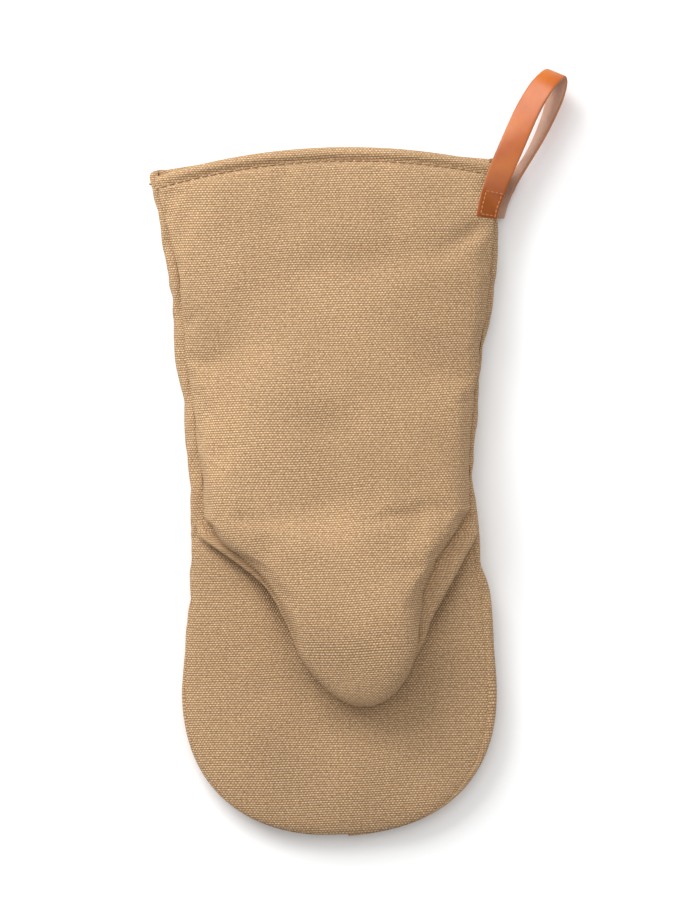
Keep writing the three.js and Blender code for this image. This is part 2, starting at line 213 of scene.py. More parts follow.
def settle(piece, sewn, cap, swell, stretch, calm):
    """Lets the cloth between its seams find its own soft folds: it swells and is a little too
    big for its place. No point moves more than cap millimetres, and the folds fade out between
    the two places up the mitt in calm, so the rounded ends keep their pressed shape."""
    start = [v.co.copy() for v in piece.data.vertices]
    held = piece.vertex_groups.new(name="sewn")
    held.add(list(sewn), 1.0, "REPLACE")
    settling = piece.modifiers.new("settle", "CLOTH")
    cloth = settling.settings
    cloth.quality = 4
    cloth.mass = 0.15
    cloth.tension_stiffness = cloth.compression_stiffness = 12
    cloth.shear_stiffness = 8
    cloth.bending_stiffness = 1.2
    cloth.vertex_group_mass = "sewn"
    cloth.shrink_min = -stretch
    cloth.effector_weights.gravity = 0
    cloth.use_pressure = True
    cloth.uniform_pressure_force = swell
    frames = 14
    settling.point_cache.frame_start = 1
    settling.point_cache.frame_end = frames
    scene = bpy.context.scene
    for step in range(1, frames + 1):
        scene.frame_set(step)
    settled = piece.evaluated_get(bpy.context.evaluated_depsgraph_get())
    ends = [v.co.copy() for v in settled.data.vertices]
    scene.frame_set(1)
    piece.modifiers.remove(settling)
    piece.vertex_groups.clear()
    moves = []
    for v, a, b in zip(piece.data.vertices, start, ends):
        move = b - a
        reach = cap * MM
        limit = reach * math.tanh(move.length / reach) / max(move.length, 1e-9)
        fade = ease((a.y / MM - calm[0]) / (calm[1] - calm[0]))
        moves.append(move * limit * fade)
        v.co = a + moves[-1]
    return moves


def finish_cloth(piece, thick, material, levels=1):
    """Gives the cloth its thickness, inwards, and smooths it."""
    piece.data.materials.append(material)
    wall = piece.modifiers.new("thickness", "SOLIDIFY")
    wall.thickness = thick * MM
    wall.offset = -1
    wall.use_even_offset = False
    soft = piece.modifiers.new("smooth", "SUBSURF")
    soft.levels = soft.render_levels = levels


def srgb(colour):
    """An sRGB hex colour as linear values."""
    channels = [int(colour[k : k + 2], 16) / 255 for k in (0, 2, 4)]
    return [c / 12.92 if c <= 0.04045 else ((c + 0.055) / 1.055) ** 2.4 for c in channels] + [1]


def add(tree, kind, settings, inputs):
    """Adds a node with its settings, and its inputs as values or as links."""
    made = tree.nodes.new(kind)
    for name, value in settings.items():
        setattr(made, name, value)
    for name, value in inputs.items():
        if isinstance(value, bpy.types.NodeSocket):
            tree.links.new(value, made.inputs[name])
        else:
            made.inputs[name].default_value = value
    return made


def new_material(name):
    material = bpy.data.materials.new(name)
    material.use_nodes = True
    tree = material.node_tree
    tree.nodes.clear()
    return material, tree


# Heavy plain-weave cotton canvas, piece-dyed: the tops of the thick yarns stand in staggered rows
# and catch the light, and the gaps between them are darker. Some yarns are thicker or paler.
YARN_PITCH = 1.44  # yarn tops along a row
ROW_PITCH = 1.07  # rows of yarn tops
ROW_RIDGE = 1.8  # how much more a row shows than the tops along it
CANVAS_GAP = "8b6d53"
CANVAS_MID = "cfab84"
CANVAS_TOP = "ffe2bd"


def canvas_material(name, tone):
    material, tree = new_material(name)
    cloth = add(tree, "ShaderNodeUVMap", {"uv_map": "cloth"}, {}).outputs[0]
    sway = add(tree, "ShaderNodeTexNoise", {}, {"Vector": cloth, "Scale": 0.02, "Detail": 1.0})
    swayed = add(
        tree, "ShaderNodeVectorMath", {"operation": "MULTIPLY_ADD"},
        {0: sway.outputs["Color"], 1: (5.0, 3.0, 0.0), 2: cloth},
    )
    split = add(tree, "ShaderNodeSeparateXYZ", {}, {0: swayed.outputs[0]})
    waves = []
    for axis, turns in ((0, 2 * math.pi / YARN_PITCH), (1, math.pi / ROW_PITCH)):
        angle = add(
            tree, "ShaderNodeMath", {"operation": "MULTIPLY"}, {0: split.outputs[axis], 1: turns}
        )
        waves.append(add(tree, "ShaderNodeMath", {"operation": "COSINE"}, {0: angle.outputs[0]}))
    tops = add(
        tree, "ShaderNodeMath", {"operation": "MULTIPLY"},
        {0: waves[0].outputs[0], 1: waves[1].outputs[0]},
    )
    ridge = add(tree, "ShaderNodeMath", {"operation": "ABSOLUTE"}, {0: waves[1].outputs[0]})
    weave = add(
        tree, "ShaderNodeMath", {"operation": "MULTIPLY_ADD"},
        {0: ridge.outputs[0], 1: ROW_RIDGE, 2: tops.outputs[0]},
    )
    # Yarns vary along their own length, across the piece and up it.
    streaks = []
    for scale in ((0.05, 0.9, 1.0), (0.7, 0.04, 1.0)):
        along = add(
            tree, "ShaderNodeVectorMath", {"operation": "MULTIPLY"},
            {0: swayed.outputs[0], 1: scale},
        )
        streaks.append(
            add(tree, "ShaderNodeTexNoise", {}, {"Vector": along.outputs[0], "Scale": 1.0})
        )
    yarns = add(
        tree, "ShaderNodeMath", {"operation": "ADD"},
        {0: streaks[0].outputs["Fac"], 1: streaks[1].outputs["Fac"]},
    )
    fleck = add(tree, "ShaderNodeTexNoise", {}, {"Vector": cloth, "Scale": 0.85, "Detail": 3.0})
    top = add(
        tree, "ShaderNodeMapRange", {},
        {"Value": weave.outputs[0], "From Min": -0.1, "From Max": 2.7, "To Min": 0.0,
         "To Max": 1.0},
    )
    fleck_and_painted_shade = add(
        tree, "ShaderNodeMapRange", {},
        {"Value": fleck.outputs["Fac"], "From Min": 0.3, "From Max": 0.7, "To Min": 0.35,
         "To Max": 1.2},
    )
    lit = add(
        tree, "ShaderNodeMath", {"operation": "MULTIPLY"}, {0: top.outputs[0], 1: fleck_and_painted_shade.outputs[0]}
    )
    ramp = add(tree, "ShaderNodeValToRGB", {}, {"Fac": lit.outputs[0]})
    shades = ((0.0, CANVAS_GAP), (0.4, CANVAS_MID), (1.0, CANVAS_TOP))
    ramp.color_ramp.elements.new(shades[1][0])
    for element, (position, colour) in zip(ramp.color_ramp.elements, shades):
        element.position = position
        element.color = srgb(colour)
    patch = add(tree, "ShaderNodeTexNoise", {}, {"Vector": cloth, "Scale": 0.018, "Detail": 3.0})
    wash = add(
        tree, "ShaderNodeMath", {"operation": "MULTIPLY_ADD"},
        {0: yarns.outputs[0], 1: 0.34, 2: patch.outputs["Fac"]},
    )
    level = add(
        tree, "ShaderNodeMapRange", {},
        {"Value": wash.outputs[0], "From Min": 0.5, "From Max": 1.2, "To Min": 0.85,
         "To Max": 1.15},
    )
    toned = add(
        tree, "ShaderNodeVectorMath", {"operation": "SCALE"},
        {0: ramp.outputs["Color"], "Scale": level.outputs[0]},
    )
    shaded = add(
        tree, "ShaderNodeVectorMath", {"operation": "MULTIPLY"}, {0: toned.outputs[0], 1: tone}
    )
    height = add(
        tree, "ShaderNodeMath", {"operation": "MULTIPLY_ADD"},
        {0: fleck.outputs["Fac"], 1: 1.2, 2: weave.outputs[0]},
    )
    bump = add(
        tree, "ShaderNodeBump", {},
        {"Strength": 0.55, "Distance": 0.00035, "Height": height.outputs[0]},
    )
    shader = add(
        tree, "ShaderNodeBsdfPrincipled", {},
        {"Base Color": shaded.outputs[0], "Roughness": 0.92, "Specular IOR Level": 0.2,
         "Sheen Weight": 0.12, "Sheen Roughness": 0.6, "Sheen Tint": srgb("e8c49c"),
         "Normal": bump.outputs[0]},
    )
    add(tree, "ShaderNodeOutputMaterial", {}, {"Surface": shader.outputs[0]})
    return material


CANVAS_TONE = (0.8, 0.77, 0.715)  # the dye takes a little off every yarn, most off the blue
canvas = canvas_material("cotton_canvas_plain_weave", CANVAS_TONE)


def body_row(drop, inside):
    """The place up the mitt, the share of full width, and the depth of a row of cloth."""
    along, depth = hem_shape(drop)
    y = CUFF_CORNER - along
    if y >= POUCH_END:
        return y, 1.0, depth
    turn = min((POUCH_END - y) / POUCH_ROUND * TIP_STOP, TIP_STOP)
    lower = POUCH_END - (POUCH_TIP - cut_back(inside)) * math.sin(turn) ** (2 / TIP_FULLNESS)
    return lower, math.cos(turn) ** (2 / TIP_FULLNESS), 0.0


def cloth_mark(drop, y):
    """How far up the cloth itself a row is, in millimetres."""
    along = hem_shape(drop)[0]
    if CUFF_CORNER - along < POUCH_END:
        return CUFF_CORNER - along
    return y + along - HEM_TURN_R - drop


BODY_DROP = CUFF_CORNER - HEM_TURN_R - POUCH_END + POUCH_ROUND
THUMB_AT = -10.0


def cuff_arch(y, across, rise, corner):
    """How far the cuff's rows arch up in the middle, fading out towards the crotch."""
    fade = max((y - THUMB_AT) / (CUFF_CORNER - THUMB_AT), 0) ** 2
    return fade * (rise * (1 - across * across) + corner * abs(across) ** 3)


def body_under(across, y, share, depth, turned, tucked):
    """A point on the back panel, from the left seam round the bottom to the right seam."""
    half = body_half(y) - cut_back(depth) - tucked
    tuck = SEAM_TUCK * half * ease((y + 20) / 10)
    kept = mix(INSET_AT_TIP, 1, share)
    insets = [inset(y) * kept + tuck for inset in (left_inset, right_inset)]
    lift = [math.acos(min(1.0, (1 - inset / half) ** (SIDE_FULLNESS / 2))) for inset in insets]
    angle = mix(math.pi - lift[0], 2 * math.pi + lift[1], across)
    left = angle < 1.5 * math.pi
    x = half * share * power(math.cos(angle), 2 / SIDE_FULLNESS)
    rise = math.sin(angle)
    if rise > 0:
        top = lift[0] if left else lift[1]
        up = (rise / math.sin(top)) ** (2 / SIDE_FULLNESS)
        seam = side_seam_z(y) - SEAM_DOWN * depth
        roll = SEAM_ROLL * math.sin(math.pi * up)
        z = BODY_MID_Z + ((seam - BODY_MID_Z) * up + roll) * share
    else:
        down = min(BED_FLAT * abs(rise) ** (2 / BED_FULLNESS), 1) * share**0.5
        z = BODY_MID_Z - (BODY_MID_Z - depth - turned) * down
    return x, z, math.cos(angle)


BACK_RISE = 9.0
BACK_CORNER = 2.6
BACK_UNEVEN = 0.35


def place_back(depth):
    def place(s, drop):
        y, share, turned = body_row(drop, depth)
        tucked = turned if drop < 0 else 0.0
        x, z, across = body_under(s, y, share, depth, turned, tucked)
        if y > THUMB_AT:
            y += cuff_arch(y, across, BACK_RISE, BACK_CORNER)
        x += body_middle(y)
        z += BACK_UNEVEN * softly(x, y, 24, 1) * min(z / 6, 1)
        return (x, y, max(z, depth + turned)), cloth_mark(drop, y)

    return place


back_rows = spread(HEM_ROWS + [150.0, BODY_DROP])
BACK_COLUMNS = 78
ROUND_CALM = (-86.0, -50.0)  # the folds fade out between these places
CLEAR_OF_TABLE = 3.0  # cloth lower than this lies still on the table
HEM_HELD = len(HEM_ROWS)
back_canvas, back_grid = lay_panel(
    "back_panel_canvas", BACK_COLUMNS, back_rows, place_back(0), False
)
back_held = [
    n
    for (i, j), n in back_grid.items()
    if i in (0, BACK_COLUMNS) or j < HEM_HELD or j > len(back_rows) - 3
    or back_canvas.data.vertices[n].co.z < CLEAR_OF_TABLE * MM
]
back_moves = settle(
    back_canvas, back_held, cap=1.5, swell=1.5, stretch=0.015, calm=ROUND_CALM
)
finish_cloth(back_canvas, CANVAS_THICK, canvas)

# ---- Front panel, canvas
# One piece of the same canvas from the cuff edge to the thumb tip, over the thumb. It is sewn to
# the back panel down both sides as far as the crotch, then to the palm panel round the thumb.
FRONT_CROWN = [(-99, 44.6), (-75, 44.6), (-50, 43.3), (-30, 41.6), (-10, 39.5), (10, 37)]
FRONT_CROWN += [(40, 32.5), (80, 27.5), (115, 25.5), (150, 24)]
THUMB_LEFT = [(-70, -19.6), (-62, -22.4), (-51, -27.4), (-43, -31.8), (-33, -39.8), (-23, -51.1)]
THUMB_LEFT += [(-17.6, -55.6), (-10.5, -60.5)]
THUMB_RIGHT = [(-70, 37.2), (-61, 38.4), (-54, 39.6), (-45, 42.2), (-36, 46.3), (-30, 49.7)]
THUMB_RIGHT += [(-22, 56.1), (-15, 61.0), (-10.5, 64.4)]
THUMB_SEAM_Z = [(-100, 27.5), (-70, 28), (-40, 27), (-25, 24), (-17, 20.5), (-10.5, 16.5)]
THUMB_STRAIGHT = -70.0
THUMB_TIP = 29.7
THUMB_TIP_FULLNESS = 2.2
THUMB_TAPER = 0.25
THUMB_TAPER_LONG = 28.4
THUMB_TIP_MIDDLE = 11.4
THUMB_ROUND = 44.0  # cloth over the rounded end
FRONT_RISE = 10.4
CUFF_FULLNESS = 2.3
THUMB_FULLNESS = 3.4  # the thumb's top is squarer than the cuff's
SQUARER_FROM, SQUARER_OVER = 40.0, 90.0
TIP_STAYS_HIGH = 0.5  # the thumb's top is nearly flat up to its tip, then rolls over
ROLL_DROP = 1.8
PUCKER_FADE = 6  # the puckers beside a seam die out up the slope
front_crown = through(FRONT_CROWN)
thumb_left = through(THUMB_LEFT)
thumb_right = through(THUMB_RIGHT)
thumb_seam_z = through(THUMB_SEAM_Z)


def front_sides(y):
    """Where the front panel's two seams run, and how high."""
    if y >= THUMB_LEFT[-1][0]:
        left = body_middle(y) - body_half(y) + left_inset(y)
        right = body_middle(y) + body_half(y) - right_inset(y)
        return left, right, side_seam_z(y)
    return thumb_left(y), thumb_right(y), thumb_seam_z(y)


def thumb_row(along, inside):
    """The place and width share of a row, along millimetres of cloth past the straight part."""
    turn = min(along / THUMB_ROUND * TIP_STOP, TIP_STOP)
    y = THUMB_STRAIGHT - (THUMB_TIP - cut_back(inside)) * math.sin(turn) ** (2 / THUMB_TIP_FULLNESS)
    taper = 1 - THUMB_TAPER * (THUMB_STRAIGHT - y) / THUMB_TAPER_LONG
    return y, taper * math.cos(turn) ** (2 / THUMB_TIP_FULLNESS)


# Soft hollows and swells: place, reach across and along, turn in degrees, height.
SWELL_SHARE = 1.5
SWELLS = [
    (69, 118, 7, 3.6, 25, -3.2),
    (58, 111, 9, 4, 35, -1.0),
    (28, 108, 46, 9, 8, -1.4),
    (-49, 66, 16, 20, -20, -2.0),
    (-18, 44, 26, 22, 30, 1.6),
    (54, 56, 20, 26, 25, -2.2),
    (-6, 31, 20, 9, -10, -1.2),
    (30, 78, 24, 14, -25, 1.2),
    (20, -40, 16, 12, 15, -1.0),
    (-20, -22, 20, 9, -35, 0.9),
    (38, -18, 15, 8, 40, -1.2),
]


def swell(x, y):
    total = 0.0
    for cx, cy, wide, long, degrees, height in SWELLS:
        turn = math.radians(degrees)
        dx, dy = x - cx, y - cy
        across = (dx * math.cos(turn) + dy * math.sin(turn)) / wide
        along = (dy * math.cos(turn) - dx * math.sin(turn)) / long
        total += height * math.exp(-across * across - along * along)
    return SWELL_SHARE * total


def place_front(depth):
    def place(s, drop):
        along, turned = hem_shape(drop)
        y = mark = CUFF_CORNER - along
        share = 1.0
        if y < THUMB_STRAIGHT:
            y, share = thumb_row(THUMB_STRAIGHT - y, depth)
        left, right, seam = front_sides(y)
        middle = mix(left, right, 0.5)
        if share < 1:
            left, right, seam = front_sides(THUMB_STRAIGHT)
            seam = thumb_seam_z(y)
            past = ease((THUMB_STRAIGHT - y) / THUMB_TIP)
            middle = mix(mix(left, right, 0.5), THUMB_TIP_MIDDLE, past)
        half = (right - left) / 2 - cut_back(depth) - (turned if drop < 0 else 0)
        squarer = ease((SQUARER_FROM - y) / SQUARER_OVER)
        fullness = mix(CUFF_FULLNESS, THUMB_FULLNESS, squarer)
        over = math.acos((1 - SEAM_TUCK) ** (fullness / 2))
        angle = mix(-over, math.pi + over, s)
        across = -power(math.cos(angle), 2 / fullness)
        rise = math.sin(angle)
        up = max(rise, 0) ** (2 / fullness)
        crown = front_crown(y) - depth - turned
        under = ROLL_DROP * (1 + min(rise, 0) / math.sin(over))
        z = seam + (under + (crown - seam - under) * up) * share**TIP_STAYS_HIGH
        x = middle + half * across * share
        if y > THUMB_AT:
            y += cuff_arch(y, across, FRONT_RISE, 0)
        z += (swell(x, y) + 1.8 * softly(x, y, 38, 2) + 0.7 * softly(x, y, 17, 3)) * up
        z += 0.5 * softly(x, y, 6, 4) * math.exp(-PUCKER_FADE * up) * share
        return (x, y, z), (mark if share < 1 else cloth_mark(drop, y))

    return place


FRONT_DROP = CUFF_CORNER - HEM_TURN_R - THUMB_STRAIGHT + THUMB_ROUND
FRONT_COLUMNS = 64
THUMB_CALM = (-84.0, -58.0)
front_rows = spread(HEM_ROWS + [150.0, FRONT_DROP])
front_canvas, front_grid = lay_panel(
    "front_panel_canvas", FRONT_COLUMNS, front_rows, place_front(0), True
)
front_held = [n for (i, j), n in front_grid.items() if i in (0, FRONT_COLUMNS) or j < HEM_HELD]
front_moves = settle(
    front_canvas, front_held, cap=2.0, swell=1.5, stretch=0.02, calm=THUMB_CALM
)
finish_cloth(front_canvas, CANVAS_THICK, canvas)

# ---- Palm panel, canvas
# One piece of canvas, folded at the crotch to line the mouth. Its lower leaf covers the fingers
# and is sewn to the back panel, and its upper leaf is the under side of the thumb.
POUCH_CROWN = [(-91, 16.5), (-40, 21), (-10, 22.5)]
FOLD_MIDDLE = -9.0
FOLD_SIDE = -11.5
MOUTH_GAP = 0.8
PALM_COLUMNS = 60
PALM_FULLNESS = 2.0
SEAM_OVERLAP = 0.7
BAND_DENT = 5.0  # depth of the crease below the thumb's band
DENT_REACH = 3.2
# How far the thumb's under side stands out past its seam, which makes a band beside the thumb.
BULGE_LEFT = [(-75, 0.6), (-45, 0.8), (-42, 1.2), (-38.3, 2.4), (-32.5, 4.2), (-26.6, 5.3)]
BULGE_LEFT += [(-22.7, 6.2), (-19.5, 8.2), (-16, 7.2), (-10.5, 3.4)]
BULGE_RIGHT = [(-90, 0.6), (-80, 0.8), (-75, 1.6), (-70.4, 3.3), (-62.6, 4.8), (-53.4, 8.2)]
BULGE_RIGHT += [(-46.6, 10.6), (-39.3, 11.9), (-34.7, 12), (-24.7, 11.4), (-18, 8), (-10.5, 1.4)]
pouch_crown = through(POUCH_CROWN)
bulge_left = through(BULGE_LEFT)
bulge_right = through(BULGE_RIGHT)


def beside_band(x, y):
    """How near a place on the pouch is to the crease below the thumb's band, from 0 to 1."""
    at = max(y, THUMB_STRAIGHT)
    off = max(thumb_left(at) - bulge_left(y) - x, x - thumb_right(at) - bulge_right(y))
    reach = DENT_REACH if off > 0 else 3 * DENT_REACH
    return math.exp(-((off / reach) ** 2)) * ease((y + 80) / 30) * ease((-9 - y) / 8)


def pouch_row(t, inside):
    """A row of the pouch, t from 0 at the fold to 1 at the end of the straight part, then on."""
    if t <= 1:
        return None, 1.0
    turn = min((t - 1) * TIP_STOP, TIP_STOP)
    y = POUCH_END - (POUCH_TIP - cut_back(inside)) * math.sin(turn) ** (2 / TIP_FULLNESS)
    return y, math.cos(turn) ** (2 / TIP_FULLNESS)


def pouch_top(x, y):
    """The height of the palm side of the pouch."""
    left = body_middle(y) - body_half(y) + left_inset(y)
    right = body_middle(y) + body_half(y) - right_inset(y)
    across = min(abs((2 * x - left - right) / (right - left)), 1)
    up = (1 - across**PALM_FULLNESS) ** (1 / PALM_FULLNESS)
    seam = side_seam_z(min(y, FOLD_SIDE))
    return seam + (pouch_crown(y) - seam) * up


def place_palm_finger(depth):
    def place(s, t):
        angle = math.pi * s
        across = -power(math.cos(angle), 2 / PALM_FULLNESS)
        up = math.sin(angle) ** (2 / PALM_FULLNESS)
        y, share = pouch_row(t, depth)
        if y is None:
            fold = mix(FOLD_MIDDLE, FOLD_SIDE, across**4)
            y = mix(fold, POUCH_END, t)
        kept = mix(INSET_AT_TIP, 1, share)
        left = -body_half(y) + left_inset(y) * kept + cut_back(depth) - SEAM_OVERLAP
        right = body_half(y) - right_inset(y) * kept - cut_back(depth) + SEAM_OVERLAP
        x = body_middle(y) + (mix(left, right, 0.5) + (right - left) / 2 * across) * share
        seam = BODY_MID_Z + (side_seam_z(min(y, FOLD_SIDE)) - BODY_MID_Z) * share
        seam -= SEAM_OVERLAP
        z = seam + (pouch_crown(y) - depth - seam) * up * share**0.9
        z -= BAND_DENT * beside_band(x, y) * up
        z += (0.8 * softly(x, y, 30, 5) + 0.3 * softly(x, y, 13, 6)) * up * min(t * 4, 1)
        z += 0.45 * softly(x, y, 6, 7) * math.exp(-PUCKER_FADE * up) * share
        return (x, y, z), y

    return place


STRAIGHT_ROWS = 27
ROUND_ROWS = 34
FOLD_HELD = 0.75  # the part of the straight rows that lies still below the thumb
finger_rows = [0, 0.01, 0.03]  # close together at the fold
finger_rows += [mix(0.06, 1, k / STRAIGHT_ROWS) for k in range(STRAIGHT_ROWS + 1)]
finger_rows += [1 + k / ROUND_ROWS for k in range(1, ROUND_ROWS + 1)]
palm_finger, finger_grid = lay_panel(
    "palm_panel_finger_canvas", PALM_COLUMNS, finger_rows, place_palm_finger(0), True
)
finger_held = [
    n
    for (i, j), n in finger_grid.items()
    if i in (0, PALM_COLUMNS) or finger_rows[j] < FOLD_HELD
]
finger_moves = settle(
    palm_finger, finger_held, cap=1.5, swell=1.5, stretch=0.015, calm=ROUND_CALM
)
finish_cloth(palm_finger, CANVAS_THICK, canvas)

BAND_ROLL = 1.6
BAND_LIFT = 2.4
BAND_TUCK = 0.8
INNER_CLEAR = 3.0  # inner layers stay clear of the band, and the deeper the more so
INNER_SLOPE = 1.5
FOLD_EDGE, FOLD_EASE = 0.1, 0.25  # shares of the width over which the fold curves
TIP_CLOSES = 0.4  # the leaf comes up to the seam at the thumb's tip
TIP_POINT = 0.013  # share of the width at the last row


def place_palm_thumb(depth):
    def place(s, t):
        share = 1.0
        start = FOLD_MIDDLE
        if t > 1:
            y, share = thumb_row((t - 1) * THUMB_ROUND, depth)
        else:
            inward = min(s, 1 - s)
            start = mix(THUMB_LEFT[-1][0], FOLD_SIDE, ease(inward / FOLD_EDGE))
            if inward > FOLD_EDGE:
                start = mix(FOLD_SIDE, FOLD_MIDDLE, ease((inward - FOLD_EDGE) / FOLD_EASE))
            y = mix(start, THUMB_STRAIGHT, t)
        at = max(y, THUMB_STRAIGHT)
        left, right = thumb_left(at), thumb_right(at)
        lift = (0, 0)
        if depth:
            left += INNER_CLEAR + INNER_SLOPE * depth
            right -= INNER_CLEAR + INNER_SLOPE * depth
        else:
            tuck = SEAM_TUCK * (right - left) / 2
            insets = (bulge_left(y) + tuck + BAND_TUCK, bulge_right(y) + tuck + BAND_TUCK)
            left -= bulge_left(y)
            right += bulge_right(y)
            ends = [1 - 2 * inset / (right - left) for inset in insets]
            lift = [math.acos(end ** (SIDE_FULLNESS / 2)) for end in ends]
        angle = mix(math.pi - lift[0], 2 * math.pi + lift[1], s)
        middle = mix(left, right, 0.5)
        if share < 1:
            middle = mix(middle, THUMB_TIP_MIDDLE, ease((THUMB_STRAIGHT - y) / THUMB_TIP))
        x = middle + (right - left) / 2 * share * power(math.cos(angle), 2 / SIDE_FULLNESS)
        rise = math.sin(angle)
        seam = thumb_seam_z(y)
        bed = pouch_top(x, y) + MOUTH_GAP * ease((start - y) / 6) + depth
        edge = max(bed + BAND_LIFT, mix(bed, seam, 0.5))
        open_here = max(share - TIP_POINT, 0) ** TIP_CLOSES
        bed, edge = mix(seam, bed, open_here), mix(seam, edge, open_here)
        if depth:
            return (x, y, bed), y
        if rise > 0:
            top = lift[0] if angle < 1.5 * math.pi else lift[1]
            up = (rise / math.sin(top)) ** (2 / SIDE_FULLNESS)
            return (x, y, mix(edge, seam, up) + BAND_ROLL * share * math.sin(math.pi * up)), y
        return (x, y, mix(edge, bed, min(abs(rise) ** 0.8 * 1.3, 1))), y

    return place


UNDER_ROWS = 20
TIP_ROWS = 16
thumb_rows = [0, 0.02, 0.05] + [mix(0.08, 1, k / UNDER_ROWS) for k in range(UNDER_ROWS + 1)]
thumb_rows += [1 + k / TIP_ROWS for k in range(1, TIP_ROWS + 1)]
palm_thumb, thumb_grid = lay_panel(
    "palm_panel_thumb_canvas", PALM_COLUMNS, thumb_rows, place_palm_thumb(0), False
)
finish_cloth(palm_thumb, CANVAS_THICK, canvas)
thumb_moves = [Vector()] * len(thumb_grid)

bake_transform(back_canvas)
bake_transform(front_canvas)
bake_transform(palm_finger)
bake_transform(palm_thumb)
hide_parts("back_cuff_canvas", "back_finger_canvas")
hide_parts("front_cuff_canvas", "front_thumb_canvas")
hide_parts("palm_finger_canvas")
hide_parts("palm_thumb_canvas")

# ---- Wadding
# A thin quilted wadding behind each canvas panel, cut a little smaller and caught in the seams.
# It gives the mitt its soft thickness and is hidden between the canvas and the lining.
WADDING_DEPTH = 1.6
WADDING_THICK = 2.8
WADDING_STARTS = 11.0  # below the hem, so the edge stays thin


def add_layer(kind, panel, depth, thick, material):
    """A layer that follows a canvas panel, depth millimetres inside it."""
    place, moves, columns, rows, first, upward, body, *nodes = PANELS[panel]
    name = panel + "_" + kind
    skipped = first * (columns + 1)
    layer, _ = lay_panel(name, columns, rows[first:], place(depth), upward, moves[skipped:])
    finish_cloth(layer, thick, material, 0)
    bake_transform(layer)
    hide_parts(*[node.format(kind) for node in nodes])
    return layer


def soft_white(name, colour, lump, strength):
    """Undyed cotton: matt, with lumps of the given size in metres, and painted shade: grey in the
    hollows between the lumps.
    """
    material, tree = new_material(name)
    place = add(tree, "ShaderNodeTexCoord", {}, {}).outputs["Object"]
    lumps = add(
        tree, "ShaderNodeTexVoronoi", {}, {"Vector": place, "Scale": 1 / lump, "Randomness": 1.0}
    )
    # Painted shade: greyer towards the edge of each lump, in the hollows that the bump sinks.
    shade = add(
        tree, "ShaderNodeMix", {"data_type": "RGBA"},
        {0: lumps.outputs["Distance"], 6: srgb(colour), 7: srgb("b9b3a8")},
    )
    bump = add(
        tree, "ShaderNodeBump", {"invert": True},
        {"Strength": strength, "Distance": lump, "Height": lumps.outputs["Distance"]},
    )
    shader = add(
        tree, "ShaderNodeBsdfPrincipled", {},
        {"Base Color": shade.outputs[2], "Roughness": 1.0, "Specular IOR Level": 0.1,
         "Normal": bump.outputs[0]},
    )
    add(tree, "ShaderNodeOutputMaterial", {}, {"Surface": shader.outputs[0]})
    return material


fibre = soft_white("needled_cotton_wadding", "efece4", 0.004, 0.3)
below_hem = next(j for j, row in enumerate(back_rows) if row >= WADDING_STARTS)
PANELS = {
    "back_panel": (
        place_back, back_moves, BACK_COLUMNS, back_rows, below_hem, False,
        "fingers", "back_cuff_{}", "back_finger_{}",
    ),
    "front_panel": (
        place_front, front_moves, FRONT_COLUMNS, front_rows, below_hem, True,
        "thumb", "front_cuff_{}", "front_thumb_{}",
    ),
    "palm_panel_finger": (
        place_palm_finger, finger_moves, PALM_COLUMNS, finger_rows, 0, True,
        "fingers", "palm_finger_{}",
    ),
    "palm_panel_thumb": (
        place_palm_thumb, thumb_moves, PALM_COLUMNS, thumb_rows, 0, False,
        "thumb", "palm_thumb_{}",
    ),
}
for panel in PANELS:
    layer = add_layer("wadding", panel, WADDING_DEPTH, WADDING_THICK, fibre)

# ---- Lining
# White cotton terry against the hand, its loops turned inwards. At the cuff it is caught under
# the canvas edge, which is turned in over it.
LINING_DEPTH = 4.7
LINING_THICK = 0.9
terry = soft_white("white_cotton_terry", "f4f2ec", 0.0016, 0.9)
for panel in PANELS:
    layer = add_layer("lining", panel, LINING_DEPTH, LINING_THICK, terry)

# ---- Hem stitches
# One row of lockstitch round the cuff, through canvas, lining and the turned-in edge. It pulls
# the padding down into a narrow valley. Its needle thread shows outside, its bobbin thread inside.
STITCH_PITCH = 4.0
STITCH_LONG = 3.3
STITCH_THICK = 0.9
HEM_THROUGH = 5.6  # from the outer face to the face of the turned-in edge


def seam_line(piece, order, cells, inside=0.0):
    """Places along a panel's mesh, each with the direction out of the cloth there."""
    line = []
    for cell in cells:
        v = piece.data.vertices[order[cell]]
        line.append((v.co - v.normal * inside * MM, v.normal.copy()))
    return line


def stitched(line, pitch=STITCH_PITCH):
    """The middle, run and outward direction of each stitch along a line of places."""
    found = []
    due = pitch / 2 * MM
    for (a, out_a), (b, out_b) in zip(line, line[1:]):
        length = (b - a).length
        while length > 0 and due <= length:
            share = due / length
            found.append((a.lerp(b, share), (b - a).normalized(), out_a.lerp(out_b, share)))
            due += pitch * MM
        due -= length
    return found


def sew(name, stitches, material, long=STITCH_LONG, thick=STITCH_THICK):
    """Draws each stitch as a short plump length of thread."""
    bm = bmesh.new()
    for middle, run, out in stitches:
        side = run.cross(out).normalized()
        turn = Matrix((run, side, run.cross(side))).transposed().to_4x4()
        size = Matrix.Diagonal((long / 2 * MM, thick / 2 * MM, thick / 2 * MM, 1))
        bmesh.ops.create_uvsphere(
            bm, u_segments=8, v_segments=5, radius=1,
            matrix=Matrix.Translation(middle) @ turn @ size @ Matrix.Rotation(math.pi / 2, 4, "Y"),
        )
    for face in bm.faces:
        face.smooth = True
    bmesh.ops.recalc_face_normals(bm, faces=bm.faces)
    mesh = bpy.data.meshes.new(name)
    bm.to_mesh(mesh)
    bm.free()
    mesh.materials.append(material)
    thread = bpy.data.objects.new(name, mesh)
    bpy.context.scene.collection.objects.link(thread)
    return thread


